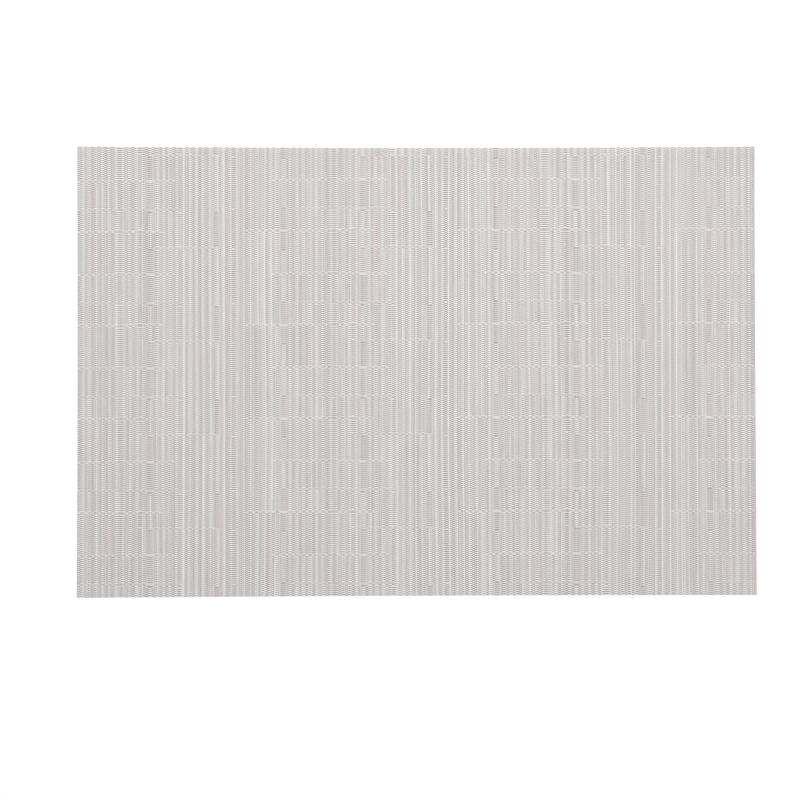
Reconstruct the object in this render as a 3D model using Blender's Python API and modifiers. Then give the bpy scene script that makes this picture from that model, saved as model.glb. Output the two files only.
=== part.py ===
"""Woven vinyl placemat, lying flat on a table.

The mat is one ribbed sheet. Flat-topped ribs run across it from the near cut to the far cut,
with a V groove between neighbours, and the underside mirrors the top. Its four cuts are a
little uneven, as on the real mat: each one leans and bows by up to two millimetres.

Frame: +X along the mat's length, +Y from the near cut to the far cut, +Z up. The origin is the
middle of the footprint, on the surface that the mat lies on. Units are metres.
"""

import bmesh
import bpy

# Overall size
MAT_LENGTH = 0.452
MAT_WIDTH = 0.300
MAT_THICKNESS = 0.0016

# Ribs of the weave, counted along the length
RIB_COUNT = 102
GROOVE_WIDTH = 0.0017
GROOVE_DEPTH = 0.0003

# Rows of faces from the near cut to the far cut, enough for the bow of the end cuts
ROW_COUNT = 4
COLUMNS_PER_RIB = 3

# How far each cut runs inside the full rectangle: the lean is what it has gained at its far or
# right end, and the bow is what it gains on top of that half way along
CUTS = {
    "left": {"lean": 0.0003, "bow": 0.0004},
    "right": {"lean": 0.0015, "bow": 0.0002},
    "near": {"lean": 0.0019, "bow": 0.0005},
    "far": {"lean": 0.0, "bow": 0.0009},
}

# Joins the two mirrored halves at the mid-plane
MERGE_DISTANCE = 0.00001

VINYL_COLOUR = (0.62, 0.585, 0.57, 1.0)
VINYL_ROUGHNESS = 0.55

RIB_PITCH = MAT_LENGTH / RIB_COUNT
HALF_THICKNESS = MAT_THICKNESS / 2


def clear_scene():
    """Removes what the file opened with."""
    for leftover in list(bpy.data.objects):
        bpy.data.objects.remove(leftover, do_unlink=True)


def inset(cut, share):
    """How far a cut runs inside the full rectangle, at a share of its length from 0 to 1."""
    return CUTS[cut]["lean"] * share + CUTS[cut]["bow"] * 4 * share * (1 - share)


def outline_point(along, across):
    """Place on the mat's plan for shares of its length and width: straight lines between the cuts."""
    left = -MAT_LENGTH / 2 + inset("left", across)
    right = MAT_LENGTH / 2 - inset("right", across)
    near = -MAT_WIDTH / 2 + inset("near", along)
    far = MAT_WIDTH / 2 - inset("far", along)
    x = left + (right - left) * along
    y = near + (far - near) * across
    return x, y


def rib_point(column):
    """Share of the length and height above the mid-plane of one column of points.

    Each rib has three columns: the groove at its left, then the two edges of its flat top.
    """
    rib, step = divmod(column, COLUMNS_PER_RIB)
    offset = (0, GROOVE_WIDTH / 2, RIB_PITCH - GROOVE_WIDTH / 2)[step]
    height = HALF_THICKNESS - (GROOVE_DEPTH if step == 0 else 0)
    return (rib * RIB_PITCH + offset) / MAT_LENGTH, height


def make_upper_half():
    """Mesh of the sheet above its mid-plane: the ribbed face and the four cut walls, open below."""
    columns = RIB_COUNT * COLUMNS_PER_RIB
    mesh_builder = bmesh.new()
    bmesh.ops.create_grid(mesh_builder, x_segments=columns, y_segments=ROW_COUNT, size=0.5)
    for point in mesh_builder.verts:
        column = round((point.co.x + 0.5) * columns)
        row = round((point.co.y + 0.5) * ROW_COUNT)
        along, height = rib_point(column)
        x, y = outline_point(along, row / ROW_COUNT)
        point.co = (x, y, height)
    rim = [edge for edge in mesh_builder.edges if edge.is_boundary]
    walls = bmesh.ops.extrude_edge_only(mesh_builder, edges=rim)["geom"]
    for piece in walls:
        if isinstance(piece, bmesh.types.BMVert):
            piece.co.z = 0
    bmesh.ops.recalc_face_normals(mesh_builder, faces=mesh_builder.faces)
    mesh = bpy.data.meshes.new("mat")
    mesh_builder.to_mesh(mesh)
    mesh_builder.free()
    return mesh


def make_vinyl():
    """Pale greige vinyl yarn, satin to matt."""
    vinyl = bpy.data.materials.new("woven_vinyl")
    vinyl.use_nodes = True
    shader = vinyl.node_tree.nodes["Principled BSDF"]
    shader.inputs["Base Color"].default_value = VINYL_COLOUR
    shader.inputs["Roughness"].default_value = VINYL_ROUGHNESS
    shader.inputs["Metallic"].default_value = 0.0
    return vinyl


def make_mat(collection):
    """The whole sheet: the upper half and its mirror image below the mid-plane."""
    mat = bpy.data.objects.new("mat", make_upper_half())
    mat.location.z = HALF_THICKNESS
    mat.data.materials.append(make_vinyl())
    mirror = mat.modifiers.new("underside", "MIRROR")
    mirror.use_axis = (False, False, True)
    mirror.merge_threshold = MERGE_DISTANCE
    collection.objects.link(mat)
    return mat


def main():
    clear_scene()
    placemat = bpy.data.collections.new("woven_placemat")
    bpy.context.scene.collection.children.link(placemat)
    make_mat(placemat)


main()
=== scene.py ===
"""Woven vinyl placemat: its woven surface, its yarn colours, the table under it and the light.

The sheet is a plain weave of vinyl yarn. Its warp runs from the near cut to the far cut in wide and
narrow columns, so the sheet is ribbed, and each pick of weft passes over one kind of column and
under the other. Every point of the sheet has two coordinates, which the mesh and the material both
use: ribs, counted from the left cut, and picks, counted from the near cut.

Frame: +X along the mat's length, +Y from the near cut to the far cut, +Z up. Units are metres.
"""

import math

import bpy
import numpy as np
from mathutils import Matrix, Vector


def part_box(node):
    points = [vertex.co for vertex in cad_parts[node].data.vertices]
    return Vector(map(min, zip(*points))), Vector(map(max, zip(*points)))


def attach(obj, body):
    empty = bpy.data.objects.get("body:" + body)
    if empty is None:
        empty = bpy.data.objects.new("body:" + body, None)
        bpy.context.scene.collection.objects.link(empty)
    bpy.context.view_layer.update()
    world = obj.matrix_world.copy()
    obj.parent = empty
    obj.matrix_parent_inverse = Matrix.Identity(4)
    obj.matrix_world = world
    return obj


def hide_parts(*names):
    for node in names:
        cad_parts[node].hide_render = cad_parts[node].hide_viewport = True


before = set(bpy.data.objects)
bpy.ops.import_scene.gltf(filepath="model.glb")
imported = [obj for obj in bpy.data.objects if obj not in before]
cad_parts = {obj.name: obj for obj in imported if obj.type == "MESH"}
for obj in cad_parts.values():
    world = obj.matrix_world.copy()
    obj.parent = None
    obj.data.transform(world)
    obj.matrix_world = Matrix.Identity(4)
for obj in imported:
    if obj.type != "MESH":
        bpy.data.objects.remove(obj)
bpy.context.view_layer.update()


def linear(red, green, blue):
    """A colour as the screen shows it, 0 to 255 each, as the light that it stands for, 0 to 1."""
    shown = np.array([red, green, blue]) / 255
    light = np.where(shown <= 0.04045, shown / 12.92, ((shown + 0.055) / 1.055) ** 2.4)
    return (*light.tolist(), 1.0)


# Sheet: its size comes from the frame, and the lean and bow of its cuts repeat the solid's
MAT_LOW, MAT_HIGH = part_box("mat")
MAT_LENGTH = MAT_HIGH[0] - MAT_LOW[0]
MAT_WIDTH = MAT_HIGH[1] - MAT_LOW[1]
HALF_THICKNESS = (MAT_HIGH[2] - MAT_LOW[2]) / 2
CUTS = {
    "left": {"lean": 0.0003, "bow": 0.0004},
    "right": {"lean": 0.0015, "bow": 0.0002},
    "near": {"lean": 0.0019, "bow": 0.0005},
    "far": {"lean": 0.0, "bow": 0.0009},
}

# Weave: ribs along the length, picks across it. Each rib is a narrow column of warp and a wide one,
# with these shares of the pitch and so many warp ends
RIB_COUNT = 102
PICK_COUNT = 443
RIB_PITCH = MAT_LENGTH / RIB_COUNT
PICK_PITCH = MAT_WIDTH / PICK_COUNT
NARROW = 0.35
WIDE = 1 - NARROW
NARROW_ENDS = 2
WIDE_ENDS = 4

# How many ribs the loom's spacing is ahead of even spacing: the first ribs are wide, and the right
# cut takes off most of the last one
RIB_LEADS = (
    {"rib": 0, "lead": 0.0},
    {"rib": 1, "lead": 0.12},
    {"rib": 17, "lead": 0.30},
    {"rib": 62, "lead": 0.30},
    {"rib": 100, "lead": 0.42},
    {"rib": 101.35, "lead": 0.42},
    {"rib": RIB_COUNT, "lead": 0.0},
)

# Picks run parallel to the near cut, and this much of the sheet takes up the difference at the far one
FAR_EASE = 0.020

# Points of each rib: where they are in the pitch, in which column (halves are grooves), their height
# above the mid-plane, and how far a pick of weft lifts or drops them
RIB_POINTS = (
    {"name": "groove by the narrow column", "at": 0.0, "column": -0.5, "level": 0.00048, "swing": 0.0},
    {"name": "narrow column", "at": NARROW / 2, "column": 0.0, "level": 0.00056, "swing": -0.00007},
    {"name": "groove by the wide column", "at": NARROW, "column": 0.5, "level": 0.00048, "swing": 0.0},
    {"name": "left shoulder", "at": 0.51, "column": 1.0, "level": 0.00071, "swing": 0.00009},
    {"name": "right shoulder", "at": 0.87, "column": 1.0, "level": 0.00071, "swing": 0.00009},
)

# Unevenness in height, and the depth of the scallops that yarn ends leave on the cuts
COLUMN_UNEVEN = 0.00004
CROSSING_UNEVEN = 0.000025
END_SCALLOP = 0.00016
SIDE_SCALLOP = 0.00012

# How far picks stray from straight rows, in picks, and ribs from even spacing, in ribs, and the size
# of their waves. They stray less and less within so many picks and ribs of the cuts
STRAYS = {
    "picks of one column": {"amount": 0.25, "picks": 26.0},
    "picks of several ribs": {"amount": 0.55, "ribs": 6.0, "picks": 45.0},
    "ribs": {"amount": 0.14, "ribs": 4.0, "picks": 160.0},
}
CALM_PICKS = 10.0
CALM_RIBS = 4.0

# The picks of a node line wave, by so many picks up and down and within so many of the line
NODE_WAVE = 0.30
NODE_WAVE_REACH = 2.5

# Repeat of the pattern, in ribs and picks. A node line is one pick that is turned, so that it lies
# like the picks beside it. It hides so much of their contrast, and that level of weft shows instead.
# In a float block a narrow column is turned, so that the weft floats over three columns. A dark bar
# is a wide column that is turned, which has no light end and hides some contrast too, as do the
# narrow columns at its sides. In the light ribs the light ends are at their lightest
REPEAT_RIBS = 32
REPEAT_PICKS = 92
NODE_LINES = (
    {"name": "left half", "rib": 0, "ribs": 15.4, "pick": 12, "hidden": 0.70, "level": 0.55},
    {"name": "upper", "rib": 29, "ribs": 17.4, "pick": 40, "hidden": 0.50, "level": 0.68},
    {"name": "short", "rib": 11, "ribs": 10, "pick": 66, "hidden": 0.70, "level": 0.55},
    {"name": "lower", "rib": 25, "ribs": 19.4, "pick": 82, "hidden": 0.50, "level": 0.68},
)
FLOAT_BLOCKS = (
    {"rib": 6, "pick": 40, "picks": 65},
    {"rib": 9, "pick": 68, "picks": 17},
    {"rib": 15, "pick": 68, "picks": 33},
    {"rib": 23, "pick": 12, "picks": 53},
)
DARK_BARS = (
    {"rib": 10, "pick": 10, "picks": 55},
    {"rib": 20, "pick": 66, "picks": 35},
    {"rib": 30, "pick": 64, "picks": 41},
)
BAR_HIDDEN = 0.45
BAR_LEVEL = 0.45
BAR_SIDE_HIDDEN = 0.55
BAR_SIDE_LEVEL = 0.67
LIGHT_RIBS = {"rib": 15, "ribs": 15}

# Where the weave is turned: first rib and how many, first pick and how many
TURNED_PLACES = (
    *((line["rib"], line["ribs"], line["pick"], 1) for line in NODE_LINES),
    *((block["rib"], NARROW, block["pick"], block["picks"]) for block in FLOAT_BLOCKS),
    *((bar["rib"] + NARROW, WIDE, bar["pick"], bar["picks"]) for bar in DARK_BARS),
)

# A node line dims the pick before it, its own and the next
DIMMED_PICKS = 3

# Stretches between node lines are numbered with one digit for each line, to a base above the number
# of repeats in the mat
STRETCH_BASE = 6.0

# The sheet is made in strips along its length, so that each has few enough faces
STRIP_COUNT = 5

# Patches of a strip, on its own bake map: the upper face below, the lower face above, and the cut
# walls in thin bands beside them. U and V go by shares of its length, its width or its thickness,
# and walls have a flat direction
FACES_U = (0.004, 0.972)
WALLS_V = (0.004, 0.996)
PATCHES = (
    {"name": "upper", "u": FACES_U, "u_by": "length", "v": (0.004, 0.486), "v_by": "width"},
    {"name": "lower", "u": FACES_U, "u_by": "length", "v": (0.514, 0.996), "v_by": "width"},
    {
        "name": "near", "wall": (0.0, -1.0, 0.0),
        "u": FACES_U, "u_by": "length", "v": (0.490, 0.498), "v_by": "thickness",
    },
    {
        "name": "far", "wall": (0.0, 1.0, 0.0),
        "u": FACES_U, "u_by": "length", "v": (0.502, 0.510), "v_by": "thickness",
    },
    {
        "name": "left", "wall": (-1.0, 0.0, 0.0),
        "u": (0.976, 0.984), "u_by": "thickness", "v": WALLS_V, "v_by": "width",
    },
    {
        "name": "right", "wall": (1.0, 0.0, 0.0),
        "u": (0.988, 0.996), "u_by": "thickness", "v": WALLS_V, "v_by": "width",
    },
)

# Crossings: how far from zero the sine of the picks is where the change from warp to weft on top
# ends, and where the gap between picks ends. Towards the sides of a column, at these shares of the
# way out from its middle, the relief starts to fade and the gap starts to show. The gaps are
# darkened with painted shade
OVER_BAND = 0.3
GAP_BAND = 0.5
RELIEF_FROM = 0.80
GAP_FROM = 0.72

# Tones of warp ends, from 0 to 1: the dark end of a narrow column is below the first, the light end
# of a wide one above the second, and outside the light ribs no light end is above the third
DARK_UP_TO = 0.25
LIGHT_FROM = 0.84
LIGHT_UP_TO = 0.93

# This share of the ends changes tone with the stretch. A wide column's light end is where a chance
# falls, at least so far from the column's sides, in ends
CHANGING_ENDS = 0.50
CHOICE_MARGIN = 0.6

# Numbers that keep the chances apart: room for the ends of a column, and each chance's second
# number. The stretch's number is added to the last three, which are further apart than it goes
ENDS_ROOM = 8.0
CHANCES = {
    "tone": 3.0,
    "changes": 4.0,
    "choice": 5.5,
    "tone in a stretch": 1000.5,
    "shade in a stretch": 4000.5,
    "tint in a stretch": 8000.5,
}

# Shade: the share of it that wanders along each end, how fast that changes from end to end and from
# pick to pick, where most of its values are, and its levels of detail
WANDER_SHARE = 0.6
WANDER_BY_END = 3.7
WANDER_BY_PICK = 0.06
WANDER_RANGE = (0.28, 0.72)
WANDER_DETAIL = 2.0

# Grain of extruded yarn, which in the faces' brightness is partly painted sheen: steps of noise to a
# rib and to a pick, its levels of detail, and where most of its values are
WARP_GRAIN = {"by_rib": 22.0, "by_pick": 0.35}
WEFT_GRAIN = {"by_rib": 2.2, "by_pick": 4.0}
GRAIN_DETAIL = 1.0
GRAIN_RANGE = (0.3, 0.7)

# Yarn colours as they look in plain light, and tints of the columns, each at its place in the chances
# from 0 to 1
WARP_COLOURS = (
    {"name": "brown grey", "at": 0.05, "colour": linear(140, 129, 126)},
    {"name": "rose grey", "at": 0.20, "colour": linear(157, 147, 146)},
    {"name": "greige", "at": 0.50, "colour": linear(169, 161, 159)},
    {"name": "stone", "at": LIGHT_FROM, "colour": linear(176, 170, 168)},
    {"name": "chalk", "at": 0.92, "colour": linear(188, 189, 190)},
    {"name": "cool white", "at": 1.00, "colour": linear(204, 210, 214)},
)
TINTS = (
    {"name": "rose", "at": 0.04, "colour": (1.0, 0.962, 0.962, 1.0)},
    {"name": "none, from here", "at": 0.30, "colour": (1.0, 1.0, 1.0, 1.0)},
    {"name": "none, up to here", "at": 0.70, "colour": (1.0, 1.0, 1.0, 1.0)},
    {"name": "sand", "at": 0.96, "colour": (0.990, 0.986, 0.960, 1.0)},
)
WEFT_COLOUR = linear(220, 217, 215)
BAR_TINT = (0.975, 0.966, 0.958, 1.0)
EDGE_COLOUR = linear(160, 152, 156)

# Rims: the last yarns beside each cut, from the cut to where the tint starts to fade and to where it
# is gone, in ribs at the left and right cuts and in picks at the near and far ones
RIMS = (
    {"cut": "Left", "full": 0.30, "gone": 0.42, "tint": (1.01, 1.015, 1.02, 1.0)},
    {"cut": "Right", "full": 0.30, "gone": 0.42, "tint": (0.985, 0.96, 0.96, 1.0)},
    {"cut": "Near", "full": 0.7, "gone": 1.6, "tint": (0.98, 0.97, 1.05, 1.0)},
    {"cut": "Far", "full": 1.0, "gone": 7.0, "tint": (1.04, 1.035, 1.025, 1.0)},
)

# Brightness of the faces: from the least to the most grain, which stands partly for painted sheen, and
# from the least to the most shade of the warp stripes; and painted shade in the recessed narrow
# columns and in the gaps. In dark bars the warp's tone falls to a share, and so does the show of weft
# at the right rim
GRAIN_AND_SHEEN_BRIGHT = (0.96, 1.04)
SHADE_BRIGHT = (0.925, 1.075)
NARROW_SHADE_BRIGHT = 0.96
GAP_SHADE_BRIGHT = 0.88
BAR_TONE = 0.30
RIGHT_RIM_WEFT = 0.7

# Finish of the faces: height of the fine relief, roughness over the grain, and index of refraction
CROSSING_BUMP = 0.00009
GRAIN_BUMP = 0.00002
GRAIN_ROUGH = (0.46, 0.60)
VINYL_IOR = 1.5

# Cut walls: brightness over the grain, painted shade in the gaps between yarn ends, and roughness
EDGE_GRAIN_BRIGHT = (0.9, 1.1)
EDGE_GAP_SHADE_BRIGHT = 0.8
EDGE_ROUGH = 0.7

# Table: half its side, and how far it lies below the frame's origin, so that it touches no face
TABLE_HALF = 2.5
TABLE_DROP = 0.0001
TABLE_COLOUR = (0.96, 0.96, 0.965, 1.0)
TABLE_ROUGH = 0.6

# Light: area lamps in watts, each aimed at a point, and a pale room
LAMPS = (
    {"name": "window", "at": (0.05, 0.30, 1.40), "aim": (0.05, 1.20, 0.0), "size": 1.0, "power": 18.7},
    {"name": "fill", "at": (0.5, -1.2, 1.6), "aim": (0.0, 0.0, 0.0), "size": 1.6, "power": 5.0},
)
SKY_COLOUR = (0.97, 0.98, 1.0, 1.0)
SKY_STRENGTH = 0.55

# View: straight above, a little left of the mat's middle and below it
VIEW_CENTRE = (-0.01124, -0.0186)
VIEW_HEIGHT = 1.8
VIEW_WIDTH = 0.5323
SENSOR_WIDTH = 36.0

RANDOM = np.random.default_rng(7)


# Shape


def inset(cut, share):
    """How far a cut runs inside the full rectangle: lean times the share, and a bow of one arch."""
    return CUTS[cut]["lean"] * share + CUTS[cut]["bow"] * 4 * share * (1 - share)


def smooth_step(share):
    """A smooth step from 0 to 1: the share's square times three less twice the share."""
    return share * share * (3 - 2 * share)


def plan(ribs, picks):
    """Place on the table of weave coordinates.

    Along the length, the share of the ribs passed, with the lead of their spacing, is laid out
    between the left and right cuts. From the near cut, picks are a pitch apart and parallel to it.
    Over the last stretch a smooth step takes away what the two cuts differ by, so that the last
    pick lies on the far cut.
    """
    lead = np.interp(ribs, [step["rib"] for step in RIB_LEADS], [step["lead"] for step in RIB_LEADS])
    along = (ribs + lead) / RIB_COUNT
    near = -MAT_WIDTH / 2 + inset("near", along)
    far = MAT_WIDTH / 2 - inset("far", along)
    travel = picks * PICK_PITCH
    eased = smooth_step(np.clip((travel - MAT_WIDTH + FAR_EASE) / FAR_EASE, 0, 1))
    y = near + travel - (MAT_WIDTH - (far - near)) * eased
    across = (y - near) / (far - near)
    left = -MAT_LENGTH / 2 + inset("left", across)
    right = MAT_LENGTH / 2 - inset("right", across)
    return left + (right - left) * along, y


def value_noise(across, along):
    """Smooth random values from -1 to 1.

    Whole numbers of both coordinates have random knots, and a smooth step joins neighbours.
    """
    column, row = np.floor(across).astype(int), np.floor(along).astype(int)
    knots = RANDOM.uniform(-1, 1, (row.max() + 2, column.max() + 2))
    right, up = smooth_step(across - column), smooth_step(along - row)
    low = knots[row, column] * (1 - right) + knots[row, column + 1] * right
    high = knots[row + 1, column] * (1 - right) + knots[row + 1, column + 1] * right
    return low * (1 - up) + high * up


def in_repeat(ribs, picks, rib, rib_count, pick, pick_count):
    """1 inside a rectangle of the repeat, in ribs and picks from its first corner, and 0 outside."""
    inside_ribs = np.mod(ribs - rib, REPEAT_RIBS) < rib_count
    inside_picks = np.mod(picks - pick, REPEAT_PICKS) < pick_count
    return inside_ribs & inside_picks


def turned(ribs, picks):
    """1 where the weave is plain, and -1 where it is turned."""
    turns = np.zeros(ribs.shape)
    for place in TURNED_PLACES:
        turns += in_repeat(ribs, picks, *place)
    return 1 - 2 * np.mod(turns, 2)


def node_wave(ribs, picks):
    """How far picks wave beside node lines, in picks.

    It is a sine of the ribs, one wave to a rib, which dies away from the middle of the line's pick
    along a bell curve.
    """
    wave = np.zeros(ribs.shape)
    for line in NODE_LINES:
        passed = np.mod(picks - line["pick"] - 0.5, REPEAT_PICKS)
        apart = np.minimum(passed, REPEAT_PICKS - passed)
        here = np.mod(ribs - line["rib"], REPEAT_RIBS) < line["ribs"]
        wave += here * np.exp(-((apart / NODE_WAVE_REACH) ** 2))
    return NODE_WAVE * wave * np.sin(2 * np.pi * ribs)


def weave_grid():
    """Ribs, picks and column numbers of the sheet's points.

    There are five columns of points to a rib and a row on each pick, and one more at each cut.
    """
    rib = np.arange(RIB_COUNT)[:, None]
    ribs = (rib + [point["at"] for point in RIB_POINTS]).ravel()
    columns = (2 * rib + [point["column"] for point in RIB_POINTS]).ravel()
    ribs, columns = np.append(ribs, RIB_COUNT), np.append(columns, 2 * RIB_COUNT - 0.5)
    picks = np.concatenate([[0], np.arange(PICK_COUNT) + 0.5, [PICK_COUNT]])
    ribs, picks = np.meshgrid(ribs, picks)
    return ribs, picks, np.broadcast_to(columns, ribs.shape)


def strayed(x, y, ribs, picks, columns):
    """The plan as it comes off the loom: picks and ribs stray by smooth noise, but not at the cuts."""
    calm_picks = np.clip(np.minimum(picks, PICK_COUNT - picks) / CALM_PICKS, 0, 1)
    calm_ribs = np.clip(np.minimum(ribs, RIB_COUNT - ribs) / CALM_RIBS, 0, 1)
    own, shared, rib = STRAYS.values()
    drift = own["amount"] * value_noise(columns + 1, picks / own["picks"])
    drift += shared["amount"] * value_noise(ribs / shared["ribs"], picks / shared["picks"])
    drift += node_wave(ribs, picks)
    sway = rib["amount"] * value_noise(ribs / rib["ribs"], picks / rib["picks"])
    return x + RIB_PITCH * sway * calm_ribs, y + PICK_PITCH * drift * calm_picks


def face_height(ribs, picks, side):
    """Height of one face above the mid-plane.

    Each column of points has its level, plus its swing times a sine of the picks, which is 1 over
    one pick and -1 over the next, and is turned where the weave is. A few hundredths of a
    millimetre of unevenness, one amount to a column and one to a crossing, is taken off. Side is 1
    for the upper face and -1 for the lower one, where the weft shows where the warp does above.
    """
    rows, columns = ribs.shape
    kind = np.arange(columns) % len(RIB_POINTS)
    level = np.array([point["level"] for point in RIB_POINTS])[kind]
    swing = np.array([point["swing"] for point in RIB_POINTS])[kind]
    height = level + side * swing * np.sin(np.pi * picks) * turned(ribs, picks)
    height -= COLUMN_UNEVEN * RANDOM.random(columns)
    height -= CROSSING_UNEVEN * RANDOM.random((rows, columns))
    return np.minimum(height, HALF_THICKNESS)


def trimmed(x, y, ribs, picks):
    """The plan with its cuts as yarn ends leave them.

    On the near and far cuts the grooves stand back by one scallop to a rib, a cosine of the ribs.
    On the left and right cuts every other pick stands back, by a sine of the picks.
    """
    grooves = 0.5 + 0.5 * np.cos(2 * np.pi * ribs[0])
    y[0] += END_SCALLOP * grooves
    y[-1] -= END_SCALLOP * grooves
    dips = 0.5 - 0.5 * np.sin(np.pi * picks[:, 0])
    x[:, 0] += SIDE_SCALLOP * dips
    x[:, -1] -= SIDE_SCALLOP * dips
    return x, y


def grid_normals(x, y, z, side):
    """Unit normals of a grid surface: the cross product of its steps along rows and columns."""
    along = np.stack([np.gradient(axis, axis=1) for axis in (x, y, z)], -1)
    across = np.stack([np.gradient(axis, axis=0) for axis in (x, y, z)], -1)
    normals = side * np.cross(along, across)
    return normals / np.linalg.norm(normals, axis=-1, keepdims=True)


def woven_sheet():
    """Points, normals and weave coordinates of the whole sheet, as grids for its two faces."""
    ribs, picks, columns = weave_grid()
    x, y = strayed(*plan(ribs, picks), ribs, picks, columns)
    x, y = trimmed(x, y, ribs, picks)
    sheet = {"weave": np.stack([ribs, picks], -1)}
    for name, side in (("upper", 1), ("lower", -1)):
        z = HALF_THICKNESS + side * face_height(ribs, picks, side)
        sheet[name] = {
            "points": np.stack([x, y, z], -1),
            "normals": grid_normals(x, y, z, side),
        }
    return sheet


def quads_of(index):
    """Faces of a grid of point numbers, anticlockwise seen from the side where it isn't mirrored."""
    corners = (index[:-1, :-1], index[:-1, 1:], index[1:, 1:], index[1:, :-1])
    return np.stack(corners, -1).reshape(-1, 4)


def strip_faces(over, under):
    """Faces of each patch of a strip, from the point numbers of its upper and lower faces."""
    return {
        "upper": quads_of(over),
        "lower": quads_of(under)[:, ::-1],
        "near": quads_of(np.stack([under[0], over[0]])),
        "far": quads_of(np.stack([over[-1], under[-1]])),
        "left": quads_of(np.stack([over[:, 0], under[:, 0]])),
        "right": quads_of(np.stack([under[:, -1], over[:, -1]])),
    }


def quad_mesh(name, points, faces, slots):
    """A smooth mesh of points and quads, each with its material slot."""
    mesh = bpy.data.meshes.new(name)
    mesh.vertices.add(len(points))
    mesh.vertices.foreach_set("co", points.ravel())
    mesh.loops.add(faces.size)
    mesh.loops.foreach_set("vertex_index", faces.ravel().astype(np.int32))
    mesh.polygons.add(len(faces))
    mesh.polygons.foreach_set("loop_start", np.arange(0, faces.size, 4, dtype=np.int32))
    mesh.polygons.foreach_set("material_index", slots.astype(np.int32))
    mesh.polygons.foreach_set("use_smooth", np.ones(len(faces), bool))
    mesh.update(calc_edges=True)
    return mesh


def strip_mesh(name, rows, sheet):
    """One strip of the sheet: its rows of the upper and lower faces, and walls all round.

    Points are the strip's part of both grids. Each face keeps the whole sheet's normals, so that
    neighbouring strips meet without a line, and walls have the flat normals of their sides and the
    second material. A corner's place on the bake map is its share of the way between the limits of
    its patch.
    """
    upper, lower = (sheet[side]["points"][rows] for side in ("upper", "lower"))
    over = np.arange(upper.shape[0] * upper.shape[1]).reshape(upper.shape[:2])
    under = over + over.size
    faces = strip_faces(over, under)
    points = np.concatenate([upper.reshape(-1, 3), lower.reshape(-1, 3)])
    quads = np.concatenate([faces[patch["name"]] for patch in PATCHES])
    slots = np.concatenate(
        [np.full(len(faces[patch["name"]]), int("wall" in patch)) for patch in PATCHES]
    )
    mesh = quad_mesh(name, points, quads, slots)

    width, length = np.meshgrid(
        np.linspace(0, 1, over.shape[0]), np.linspace(0, 1, over.shape[1]), indexing="ij"
    )
    weave, places, normals = [], [], []
    for patch in PATCHES:
        corners = faces[patch["name"]].ravel()
        on_grid = corners % over.size
        shares = {
            "length": length.ravel()[on_grid],
            "width": width.ravel()[on_grid],
            "thickness": (corners < over.size).astype(float),
        }
        (u_low, u_high), (v_low, v_high) = patch["u"], patch["v"]
        u = u_low + (u_high - u_low) * shares[patch["u_by"]]
        v = v_low + (v_high - v_low) * shares[patch["v_by"]]
        places.append(np.stack([u, v], -1))
        weave.append(sheet["weave"][rows].reshape(-1, 2)[on_grid])
        if "wall" in patch:
            normals.append(np.tile(patch["wall"], (len(corners), 1)))
        else:
            normals.append(sheet[patch["name"]]["normals"][rows].reshape(-1, 3)[on_grid])
    mesh.uv_layers.new(name="weave").data.foreach_set("uv", np.concatenate(weave).ravel())
    mesh.uv_layers.new(name="OFBake").data.foreach_set("uv", np.concatenate(places).ravel())
    mesh.uv_layers.active = mesh.uv_layers["weave"]
    mesh.uv_layers["weave"].active_render = True
    mesh.normals_split_custom_set(np.concatenate(normals))
    mesh.update()
    return mesh


# Nodes


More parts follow.
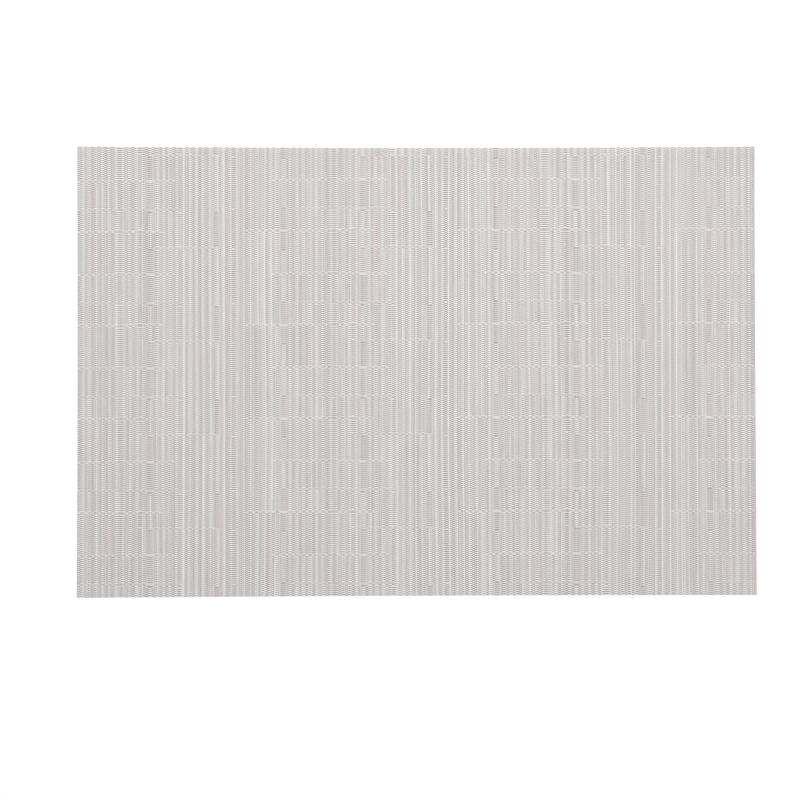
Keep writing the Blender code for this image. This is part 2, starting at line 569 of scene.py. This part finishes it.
class Nodes:
    """Adds nodes to one tree. A value given to a node is a socket, which is linked, or a constant."""

    # Nodes are laid out in columns, with so many rows to a column
    COLUMN_STEP = 180
    ROW_STEP = -170
    ROWS = 6

    def __init__(self, tree):
        self.tree = tree
        self.place = 0

    def add(self, kind, inputs=(), **settings):
        """A node of that kind with its settings, and its inputs by name or number."""
        node = self.tree.nodes.new(kind)
        self.place += 1
        column, row = divmod(self.place, self.ROWS)
        node.location = (self.COLUMN_STEP * column, self.ROW_STEP * row)
        for setting, value in settings.items():
            setattr(node, setting, value)
        for socket, value in dict(inputs).items():
            self.feed(node.inputs[socket], value)
        return node

    def feed(self, socket, value):
        """Links a socket to an input, or sets the input to a constant."""
        if isinstance(value, bpy.types.NodeSocket):
            self.tree.links.new(value, socket)
        else:
            socket.default_value = value

    def math(self, operation, *values):
        """One Math node's result."""
        return self.add("ShaderNodeMath", enumerate(values), operation=operation).outputs[0]

    def ramp(self, value, low, high, low_value=0.0, high_value=1.0, smooth=True):
        """A value carried from one range to another and held at its ends, by default smoothly."""
        kind = "SMOOTHSTEP" if smooth else "LINEAR"
        inputs = {0: value, 1: low, 2: high, 3: low_value, 4: high_value}
        return self.add("ShaderNodeMapRange", inputs, interpolation_type=kind).outputs[0]

    def mix_value(self, share, first, second):
        """A value between two others."""
        inputs = {0: share, 2: first, 3: second}
        return self.add("ShaderNodeMix", inputs, data_type="FLOAT").outputs[0]

    def mix_colour(self, share, first, second, blend="MIX"):
        """A colour between two others, or the two blended in another way."""
        inputs = {0: share, 6: first, 7: second}
        return self.add("ShaderNodeMix", inputs, data_type="RGBA", blend_type=blend).outputs[2]

    def tinted(self, colour, mask, tint):
        """A colour times a tint, where the mask is."""
        return self.mix_colour(mask, colour, self.mix_colour(1.0, colour, tint, "MULTIPLY"))

    def dimmed(self, colour, bright):
        """A colour times a brightness."""
        grey = self.add("ShaderNodeCombineColor", {0: bright, 1: bright, 2: bright}).outputs[0]
        return self.mix_colour(1.0, colour, grey, "MULTIPLY")

    def pair(self, first, second):
        """Two values as the X and Y of a vector."""
        return self.add("ShaderNodeCombineXYZ", {0: first, 1: second}).outputs[0]

    def scaled_pair(self, first, first_by, second, second_by):
        """Two values, each times its own factor, as the X and Y of a vector."""
        return self.pair(
            self.math("MULTIPLY", first, first_by), self.math("MULTIPLY", second, second_by)
        )

    def chance(self, first, second):
        """A random value from 0 to 1 for each pair of numbers."""
        inputs = {"Vector": self.pair(first, second)}
        return self.add("ShaderNodeTexWhiteNoise", inputs, noise_dimensions="2D").outputs["Value"]

    def noise(self, vector, detail):
        """Smooth noise over the X and Y of a vector."""
        inputs = {"Vector": vector, "Scale": 1.0, "Detail": detail}
        return self.add("ShaderNodeTexNoise", inputs, noise_dimensions="2D").outputs[0]

    def colour_chart(self, chance, colours):
        """Colours as a ramp over a chance, each at its place."""
        node = self.add("ShaderNodeValToRGB", {0: chance})
        steps = node.color_ramp.elements
        while len(steps) < len(colours):
            steps.new(1.0)
        for step, yarn in zip(steps, colours):
            step.position = yarn["at"]
            step.color = yarn["colour"]
        return node.outputs[0]

    def group(self, tree, **inputs):
        """A node group with the values of its inputs, whose names have underscores for spaces."""
        node = self.add("ShaderNodeGroup", node_tree=tree)
        for name, value in inputs.items():
            self.feed(node.inputs[name.replace("_", " ")], value)
        return node


FLOAT = "NodeSocketFloat"
VECTOR = "NodeSocketVector"


def new_group(name, inputs, outputs):
    """An empty node group with its sockets, its nodes helper, and its input and output nodes."""
    tree = bpy.data.node_groups.new(name, "ShaderNodeTree")
    for socket, kind in inputs.items():
        tree.interface.new_socket(socket, in_out="INPUT", socket_type=kind)
    for socket, kind in outputs.items():
        tree.interface.new_socket(socket, in_out="OUTPUT", socket_type=kind)
    nodes = Nodes(tree)
    start = nodes.add("NodeGroupInput")
    end = nodes.add("NodeGroupOutput")
    return tree, nodes, start.outputs, end.inputs


def rib_layout():
    """Which column of warp a point is in, and how far across it, from -1 to 1.

    The narrow column comes first in each pitch, then the wide one.
    """
    tree, nodes, given, result = new_group(
        "rib layout",
        {"Weave": VECTOR},
        {"Ribs": FLOAT, "Picks": FLOAT, "Column": FLOAT, "Wide": FLOAT, "Across": FLOAT},
    )
    split = nodes.add("ShaderNodeSeparateXYZ", {0: given["Weave"]})
    ribs, picks = split.outputs[0], split.outputs[1]
    share = nodes.math("FRACT", ribs)
    wide = nodes.math("GREATER_THAN", share, NARROW)
    middle = nodes.mix_value(wide, NARROW / 2, (1 + NARROW) / 2)
    half = nodes.mix_value(wide, NARROW / 2, WIDE / 2)
    nodes.feed(result["Ribs"], ribs)
    nodes.feed(result["Picks"], picks)
    nodes.feed(result["Column"], nodes.math("MULTIPLY_ADD", nodes.math("FLOOR", ribs), 2.0, wide))
    nodes.feed(result["Wide"], wide)
    nodes.feed(result["Across"], nodes.math("DIVIDE", nodes.math("SUBTRACT", share, middle), half))
    return tree


def weave_chart():
    """The repeat: turns of the weave, stretches, dimmed contrast, dark bars and the light ribs.

    A stretch is what lies between two node lines, and its number differs from its neighbours'.
    """
    tree, nodes, given, result = new_group(
        "weave chart",
        {"Ribs": FLOAT, "Picks": FLOAT},
        {
            "Turn": FLOAT, "Stretch": FLOAT, "Hidden": FLOAT, "Level": FLOAT, "Bar": FLOAT,
            "Light Ribs": FLOAT,
        },
    )

    def inside(socket, first, count, repeat):
        passed = nodes.math("SUBTRACT", given[socket], float(first))
        passed = nodes.math("FLOORED_MODULO", passed, float(repeat))
        return nodes.math("LESS_THAN", passed, float(count))

    def both(rib, ribs, pick, picks):
        by_rib = inside("Ribs", rib, ribs, REPEAT_RIBS)
        return nodes.math("MULTIPLY", by_rib, inside("Picks", pick, picks, REPEAT_PICKS))

    turns, stretch, hidden, level, bar, sides = 0.0, 0.0, 0.0, 0.0, 0.0, 0.0
    for order, line in enumerate(NODE_LINES):
        along = nodes.math("SUBTRACT", given["Picks"], float(line["pick"] - REPEAT_PICKS))
        passed = nodes.math("FLOOR", nodes.math("DIVIDE", along, float(REPEAT_PICKS)))
        passed = nodes.math("MULTIPLY", passed, inside("Ribs", line["rib"], line["ribs"], REPEAT_RIBS))
        stretch = nodes.math("MULTIPLY_ADD", passed, STRETCH_BASE ** order, stretch)
        here = both(line["rib"], line["ribs"], line["pick"] - 1, DIMMED_PICKS)
        hidden = nodes.math("MULTIPLY_ADD", here, line["hidden"], hidden)
        level = nodes.math("MULTIPLY_ADD", here, line["level"], level)
    for place in TURNED_PLACES:
        turns = nodes.math("ADD", turns, both(*place))
    for stripe in DARK_BARS:
        reach = both(stripe["rib"] + NARROW, WIDE, stripe["pick"], stripe["picks"])
        bar = nodes.math("ADD", bar, reach)
        wider = both(stripe["rib"], 1 + NARROW, stripe["pick"], stripe["picks"])
        sides = nodes.math("ADD", sides, nodes.math("SUBTRACT", wider, reach))
    for mask, hides, shows in (
        (bar, BAR_HIDDEN, BAR_LEVEL),
        (sides, BAR_SIDE_HIDDEN, BAR_SIDE_LEVEL),
    ):
        hidden = nodes.math("MAXIMUM", hidden, nodes.math("MULTIPLY", mask, hides))
        level = nodes.math("MAXIMUM", level, nodes.math("MULTIPLY", mask, shows))
    light_ribs = inside("Ribs", LIGHT_RIBS["rib"], LIGHT_RIBS["ribs"], REPEAT_RIBS)
    nodes.feed(result["Turn"], nodes.math("COSINE", nodes.math("MULTIPLY", turns, math.pi)))
    nodes.feed(result["Stretch"], stretch)
    nodes.feed(result["Hidden"], nodes.math("MINIMUM", hidden, 1.0))
    nodes.feed(result["Level"], level)
    nodes.feed(result["Bar"], bar)
    nodes.feed(result["Light Ribs"], light_ribs)
    return tree


def crossing():
    """Weft over warp at a point, from 0 to 1, the height of the crossing's yarn, and a mask of the
    gaps for painted shade.

    The sine of the picks is 1 in the middle of one pick and -1 in the middle of the next. It
    changes sign from a wide column to a narrow one, and where the weave is turned.
    """
    tree, nodes, given, result = new_group(
        "crossing",
        {"Picks": FLOAT, "Wide": FLOAT, "Across": FLOAT, "Turn": FLOAT},
        {"Weft Over": FLOAT, "Swell": FLOAT, "Gap Shade": FLOAT},
    )
    sign = nodes.math("MULTIPLY", nodes.math("MULTIPLY_ADD", given["Wide"], 2.0, -1.0), given["Turn"])
    sine = nodes.math("SINE", nodes.math("MULTIPLY", given["Picks"], math.pi))
    wave = nodes.math("MULTIPLY", sine, sign)
    from_middle = nodes.math("ABSOLUTE", given["Across"])
    relief = nodes.ramp(from_middle, RELIEF_FROM, 1.0, 1.0, 0.0)
    between_picks = nodes.ramp(nodes.math("ABSOLUTE", wave), 0.0, GAP_BAND, 1.0, 0.0)
    between_columns = nodes.ramp(from_middle, GAP_FROM, 1.0)
    nodes.feed(result["Weft Over"], nodes.ramp(wave, -OVER_BAND, OVER_BAND))
    nodes.feed(result["Swell"], nodes.math("MULTIPLY", wave, relief))
    nodes.feed(result["Gap Shade"], nodes.math("MAXIMUM", between_picks, between_columns))
    return tree


def warp_stripes():
    """Chances that give the warp its stripes.

    Each warp end has a tone, which lasts from cut to cut on some ends and changes with the stretch
    on the others. One end of each wide column is light, most often one of the middle two, and one
    end of each narrow column is dark. The shade is part the column's, which changes with the
    stretch too, and part the end's, which wanders along it. The tint is the column's, and changes
    with the stretch on wide columns alone.
    """
    tree, nodes, given, result = new_group(
        "warp stripes",
        {
            "Picks": FLOAT, "Column": FLOAT, "Wide": FLOAT, "Across": FLOAT, "Stretch": FLOAT,
            "Light Ribs": FLOAT,
        },
        {"Tone": FLOAT, "Shade": FLOAT, "Tint": FLOAT},
    )
    column, wide, stretch = given["Column"], given["Wide"], given["Stretch"]

    def chance_in_stretch(number, name):
        return nodes.chance(number, nodes.math("ADD", stretch, CHANCES[name]))

    # The end that a point is on, counted in its column and over the whole sheet
    count = nodes.mix_value(wide, float(NARROW_ENDS), float(WIDE_ENDS))
    share = nodes.ramp(given["Across"], -1.0, 1.0, smooth=False)
    place = nodes.math("FLOOR", nodes.math("MULTIPLY", share, count))
    end = nodes.math("MULTIPLY_ADD", column, ENDS_ROOM, place)

    # Its tone, and that which it has as the chosen end of its column
    changes = nodes.math("LESS_THAN", nodes.chance(end, CHANCES["changes"]), CHANGING_ENDS)
    tone = nodes.mix_value(
        changes, nodes.chance(end, CHANCES["tone"]), chance_in_stretch(end, "tone in a stretch")
    )
    plain = nodes.math("MULTIPLY", tone, LIGHT_FROM)
    most = nodes.mix_value(given["Light Ribs"], LIGHT_UP_TO, 1.0)
    light = nodes.ramp(tone, 0.0, 1.0, LIGHT_FROM, most, smooth=False)
    dark = nodes.math("MULTIPLY", tone, DARK_UP_TO)
    margin = nodes.math("MULTIPLY", wide, CHOICE_MARGIN)
    span = nodes.math("SUBTRACT", count, nodes.math("MULTIPLY", margin, 2.0))
    choice = nodes.math("MULTIPLY_ADD", nodes.chance(column, CHANCES["choice"]), span, margin)
    is_chosen = nodes.math("COMPARE", place, nodes.math("FLOOR", choice), 0.5)
    nodes.feed(result["Tone"], nodes.mix_value(is_chosen, plain, nodes.mix_value(wide, dark, light)))

    # Its shade, and the tint of its column
    wander = nodes.noise(
        nodes.scaled_pair(end, WANDER_BY_END, given["Picks"], WANDER_BY_PICK), WANDER_DETAIL
    )
    wander = nodes.ramp(wander, *WANDER_RANGE, smooth=False)
    own = chance_in_stretch(column, "shade in a stretch")
    nodes.feed(result["Shade"], nodes.mix_value(WANDER_SHARE, own, wander))
    tint_number = nodes.math("MULTIPLY_ADD", stretch, wide, CHANCES["tint in a stretch"])
    nodes.feed(result["Tint"], nodes.chance(column, tint_number))
    return tree


def cut_rims():
    """Masks of the last yarns beside the left, right, near and far cuts."""
    tree, nodes, given, result = new_group(
        "cut rims",
        {"Ribs": FLOAT, "Picks": FLOAT},
        {rim["cut"]: FLOAT for rim in RIMS},
    )
    from_cut = {
        "Left": given["Ribs"],
        "Right": nodes.math("SUBTRACT", float(RIB_COUNT), given["Ribs"]),
        "Near": given["Picks"],
        "Far": nodes.math("SUBTRACT", float(PICK_COUNT), given["Picks"]),
    }
    for rim in RIMS:
        mask = nodes.ramp(from_cut[rim["cut"]], rim["full"], rim["gone"], 1.0, 0.0)
        nodes.feed(result[rim["cut"]], mask)
    return tree


def yarn_grain():
    """Fine unevenness of extruded yarn: noise in the yarn's own places, stretched along it."""
    tree, nodes, given, result = new_group(
        "yarn grain",
        {"Ribs": FLOAT, "Picks": FLOAT, "Weft Over": FLOAT},
        {"Grain": FLOAT},
    )
    warp, weft = (
        nodes.noise(
            nodes.scaled_pair(given["Ribs"], grain["by_rib"], given["Picks"], grain["by_pick"]),
            GRAIN_DETAIL,
        )
        for grain in (WARP_GRAIN, WEFT_GRAIN)
    )
    nodes.feed(result["Grain"], nodes.mix_value(given["Weft Over"], warp, weft))
    return tree


# Materials


def new_material(name):
    """An empty material with its nodes helper."""
    material = bpy.data.materials.new(name)
    material.use_nodes = True
    material.node_tree.nodes.clear()
    return material, Nodes(material.node_tree)


def vinyl_weave(groups):
    """Woven vinyl: warp ends of mixed tones, light weft over them, node lines and dark bars."""
    material, nodes = new_material("woven_vinyl")
    weave = nodes.add("ShaderNodeUVMap", uv_map="weave").outputs[0]
    layout = nodes.group(groups["rib layout"], Weave=weave).outputs
    ribs, picks, column, wide, across = (
        layout[name] for name in ("Ribs", "Picks", "Column", "Wide", "Across")
    )
    chart = nodes.group(groups["weave chart"], Ribs=ribs, Picks=picks).outputs
    yarn = nodes.group(
        groups["crossing"], Picks=picks, Wide=wide, Across=across, Turn=chart["Turn"]
    ).outputs
    stripes = nodes.group(
        groups["warp stripes"], Picks=picks, Column=column, Wide=wide, Across=across,
        Stretch=chart["Stretch"], Light_Ribs=chart["Light Ribs"],
    ).outputs
    rims = nodes.group(groups["cut rims"], Ribs=ribs, Picks=picks).outputs
    grain = nodes.group(
        groups["yarn grain"], Ribs=ribs, Picks=picks, Weft_Over=yarn["Weft Over"]
    ).outputs[0]

    # Colour: weft over warp, where the chart doesn't hide it, under the tints
    darker = nodes.ramp(chart["Bar"], 0.0, 1.0, 1.0, BAR_TONE, smooth=False)
    warp = nodes.colour_chart(nodes.math("MULTIPLY", stripes["Tone"], darker), WARP_COLOURS)
    showing = nodes.mix_value(chart["Hidden"], yarn["Weft Over"], chart["Level"])
    at_rim = nodes.ramp(rims["Right"], 0.0, 1.0, 1.0, RIGHT_RIM_WEFT)
    colour = nodes.mix_colour(nodes.math("MULTIPLY", showing, at_rim), warp, WEFT_COLOUR)
    colour = nodes.tinted(colour, 1.0, nodes.colour_chart(stripes["Tint"], TINTS))
    colour = nodes.tinted(colour, chart["Bar"], BAR_TINT)
    for rim in RIMS:
        colour = nodes.tinted(colour, rims[rim["cut"]], rim["tint"])

    # Brightness: by grain, partly painted sheen, and by column, with painted shade in the recessed
    # narrow columns and in the gaps
    # grain brightness: the yarn's own unevenness, and partly painted sheen
    bright = nodes.ramp(grain, *GRAIN_RANGE, *GRAIN_AND_SHEEN_BRIGHT, smooth=False)
    for part in (
        nodes.ramp(stripes["Shade"], 0.0, 1.0, *SHADE_BRIGHT, smooth=False),
        # painted shade in the recessed narrow columns
        nodes.mix_value(wide, NARROW_SHADE_BRIGHT, 1.0),
        # painted shade in the gaps between picks and between columns
        nodes.ramp(yarn["Gap Shade"], 0.0, 1.0, 1.0, GAP_SHADE_BRIGHT, smooth=False),
    ):
        bright = nodes.math("MULTIPLY", bright, part)

    height = nodes.math("MULTIPLY", yarn["Swell"], CROSSING_BUMP)
    height = nodes.math("MULTIPLY_ADD", grain, GRAIN_BUMP, height)
    bump = nodes.add("ShaderNodeBump", {"Strength": 1.0, "Distance": 1.0, "Height": height})
    shader = nodes.add("ShaderNodeBsdfPrincipled", {
        "Base Color": nodes.dimmed(colour, bright),
        "Roughness": nodes.ramp(grain, *GRAIN_RANGE, *GRAIN_ROUGH, smooth=False),
        "IOR": VINYL_IOR,
        "Normal": bump.outputs[0],
    })
    nodes.add("ShaderNodeOutputMaterial", {0: shader.outputs[0]})
    return material


def cut_edge(groups):
    """The cut: yarn ends sealed by the blade, duller and darker than the faces, with painted shade in
    the gaps between them.
    """
    material, nodes = new_material("cut_edge")
    weave = nodes.add("ShaderNodeUVMap", uv_map="weave").outputs[0]
    layout = nodes.group(groups["rib layout"], Weave=weave).outputs
    ribs, picks, wide, across = (layout[name] for name in ("Ribs", "Picks", "Wide", "Across"))
    yarn = nodes.group(groups["crossing"], Picks=picks, Wide=wide, Across=across, Turn=1.0).outputs
    grain = nodes.group(groups["yarn grain"], Ribs=ribs, Picks=picks, Weft_Over=0.0).outputs[0]
    by_grain = nodes.ramp(grain, *GRAIN_RANGE, *EDGE_GRAIN_BRIGHT, smooth=False)
    # painted shade in the gaps between yarn ends
    by_gap_shade = nodes.ramp(yarn["Gap Shade"], 0.0, 1.0, 1.0, EDGE_GAP_SHADE_BRIGHT, smooth=False)
    colour = nodes.dimmed(EDGE_COLOUR, nodes.math("MULTIPLY", by_grain, by_gap_shade))
    shader = nodes.add("ShaderNodeBsdfPrincipled", {"Base Color": colour, "Roughness": EDGE_ROUGH})
    nodes.add("ShaderNodeOutputMaterial", {0: shader.outputs[0]})
    return material


def make_mat():
    """The woven sheet in its strips, each a piece that stands for the solid."""
    groups = {
        "rib layout": rib_layout(),
        "weave chart": weave_chart(),
        "crossing": crossing(),
        "warp stripes": warp_stripes(),
        "cut rims": cut_rims(),
        "yarn grain": yarn_grain(),
    }
    materials = (vinyl_weave(groups), cut_edge(groups))
    sheet = woven_sheet()
    row_count = sheet["weave"].shape[0]
    borders = np.linspace(0, row_count - 1, STRIP_COUNT + 1).round().astype(int)
    for number, (first, last) in enumerate(zip(borders[:-1], borders[1:]), start=1):
        name = f"woven_strip_{number}"
        mesh = strip_mesh(name, slice(first, last + 1), sheet)
        for material in materials:
            mesh.materials.append(material)
        strip = bpy.data.objects.new(name, mesh)
        bpy.context.scene.collection.objects.link(strip)
        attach(strip, "root")
        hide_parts("mat")


# Table, light and camera


def make_table():
    """A plain white table top under the mat."""
    mesh = bpy.data.meshes.new("table_top")
    sides = ((-1, -1), (1, -1), (1, 1), (-1, 1))
    corners = [(TABLE_HALF * x, TABLE_HALF * y, -TABLE_DROP) for x, y in sides]
    mesh.from_pydata(corners, [], [(0, 1, 2, 3)])
    table = bpy.data.objects.new("table_top", mesh)
    bpy.context.scene.collection.objects.link(table)
    material = bpy.data.materials.new("white_table")
    material.use_nodes = True
    shader = material.node_tree.nodes["Principled BSDF"]
    shader.inputs["Base Color"].default_value = TABLE_COLOUR
    shader.inputs["Roughness"].default_value = TABLE_ROUGH
    mesh.materials.append(material)


def make_light():
    """Soft light from above, tilted to the far side, a weak fill from the near side, a pale room."""
    for lamp in LAMPS:
        light = bpy.data.lights.new(lamp["name"], "AREA")
        light.energy = lamp["power"]
        light.size = lamp["size"]
        holder = bpy.data.objects.new(lamp["name"], light)
        holder.location = lamp["at"]
        aim = Vector(lamp["aim"]) - holder.location
        holder.rotation_euler = aim.to_track_quat("-Z", "Y").to_euler()
        bpy.context.scene.collection.objects.link(holder)
    world = bpy.data.worlds.new("pale_room")
    world.use_nodes = True
    background = world.node_tree.nodes["Background"]
    background.inputs["Color"].default_value = SKY_COLOUR
    background.inputs["Strength"].default_value = SKY_STRENGTH
    bpy.context.scene.world = world


def make_camera():
    """Camera straight above, turned so that the far cut is at the top."""
    camera = bpy.data.cameras.new("camera")
    camera.sensor_width = SENSOR_WIDTH
    camera.lens = SENSOR_WIDTH * VIEW_HEIGHT / VIEW_WIDTH
    holder = bpy.data.objects.new("camera", camera)
    holder.location = (*VIEW_CENTRE, VIEW_HEIGHT)
    bpy.context.scene.collection.objects.link(holder)
    bpy.context.scene.camera = holder
    bpy.context.scene.view_settings.view_transform = "Standard"


make_camera()
make_light()
make_table()
make_mat()
